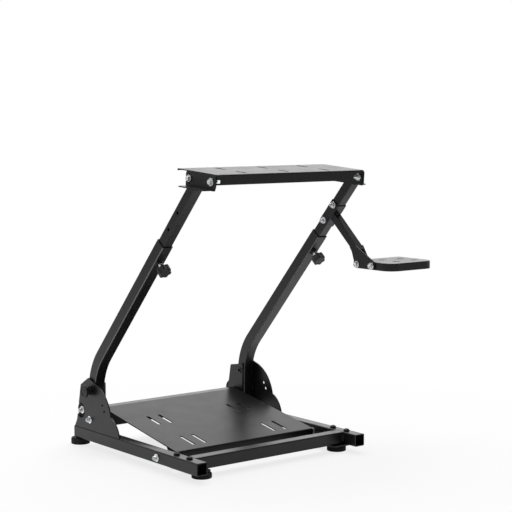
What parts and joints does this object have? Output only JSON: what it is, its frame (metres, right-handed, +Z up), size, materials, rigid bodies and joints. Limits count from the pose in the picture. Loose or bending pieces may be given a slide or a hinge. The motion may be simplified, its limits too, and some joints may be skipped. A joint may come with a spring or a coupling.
{
  "type": "racing wheel stand",
  "caption": "Black folding steel racing wheel stand with bent leaning uprights, a tilting wheel plate, a sloping pedal tray and a gear lever arm.",
  "frame": {"origin": "middle of the footprint's box, on the floor", "axes": "+X to the seated user's right, +Y away from the user towards the rear of the base, +Z up"},
  "size_m": [0.6522, 0.6724, 0.715],
  "materials": {
    "black_steel": "satin black powder coat",
    "zinc_steel": "bright zinc",
    "black_plastic": "moulded satin",
    "black_rubber": "matt"
  },
  "bodies": {
    "base": {"left_rail": "black_steel", "right_rail": "black_steel", "left_corner_plate": "black_steel", "right_corner_plate": "black_steel", "corner_bolts": "black_steel", "rubber_feet": "black_rubber", "rail_end_caps": "black_plastic", "front_cross_tube": "black_steel", "rear_beam": "black_steel", "pedal_tray": "black_steel", "pedal_tray_bolts": "zinc_steel", "stop_rollers": "black_rubber", "left_outer_pivot_plate": "black_steel", "right_outer_pivot_plate": "black_steel", "left_inner_pivot_bracket": "black_steel", "right_inner_pivot_bracket": "black_steel", "left_pivot_bolt": "zinc_steel", "right_pivot_bolt": "zinc_steel", "left_stop_bolt": "zinc_steel", "right_stop_bolt": "zinc_steel", "left_lock_knob": "black_plastic", "right_lock_knob": "black_plastic", "left_lock_bush": "zinc_steel", "right_lock_bush": "zinc_steel"},
    "uprights": {"left_lower_tube": "black_steel", "right_lower_tube": "black_steel", "left_weld_nut": "black_steel", "right_weld_nut": "black_steel"},
    "left_clamp_knob": {"left_star_knob": "black_plastic", "left_clamp_stud": "zinc_steel"},
    "right_clamp_knob": {"right_star_knob": "black_plastic", "right_clamp_stud": "zinc_steel"},
    "mast": {"left_upper_tube": "black_steel", "right_upper_tube": "black_steel", "left_head_bracket": "black_steel", "right_head_bracket": "black_steel", "tilt_axis_bolts": "zinc_steel", "lever_clamp": "black_steel", "lever_clamp_bolts": "zinc_steel", "lever_arm": "black_steel", "lever_arm_cheeks": "black_steel", "lever_plate": "black_steel", "lever_plate_bolts": "zinc_steel"},
    "wheel_deck": {"wheel_plate": "black_steel", "tilt_lock_bolts": "zinc_steel"}
  },
  "joints": [
    {"name": "fold", "type": "hinge", "parent": "base", "child": "uprights", "pos_m": [-0.0511, 0.24173, 0.074], "axis": [1, 0, 0], "range_deg": [0, 38]},
    {"name": "height", "type": "slide", "parent": "uprights", "child": "mast", "axis": [0, -0.6691, 0.7431], "range_m": [-0.025, 0.1]},
    {"name": "wheel_tilt", "type": "hinge", "parent": "mast", "child": "wheel_deck", "pos_m": [-0.0511, -0.22935, 0.68783], "axis": [1, 0, 0], "range_deg": [-6, 5]},
    {"name": "left_clamp", "type": "hinge", "parent": "uprights", "child": "left_clamp_knob", "pos_m": [-0.2883, -0.04309, 0.49121], "axis": [0, -0.7431, -0.6691], "continuous": true},
    {"name": "right_clamp", "type": "hinge", "parent": "uprights", "child": "right_clamp_knob", "pos_m": [0.1861, -0.04309, 0.49121], "axis": [0, -0.7431, -0.6691], "continuous": true}
  ]
}
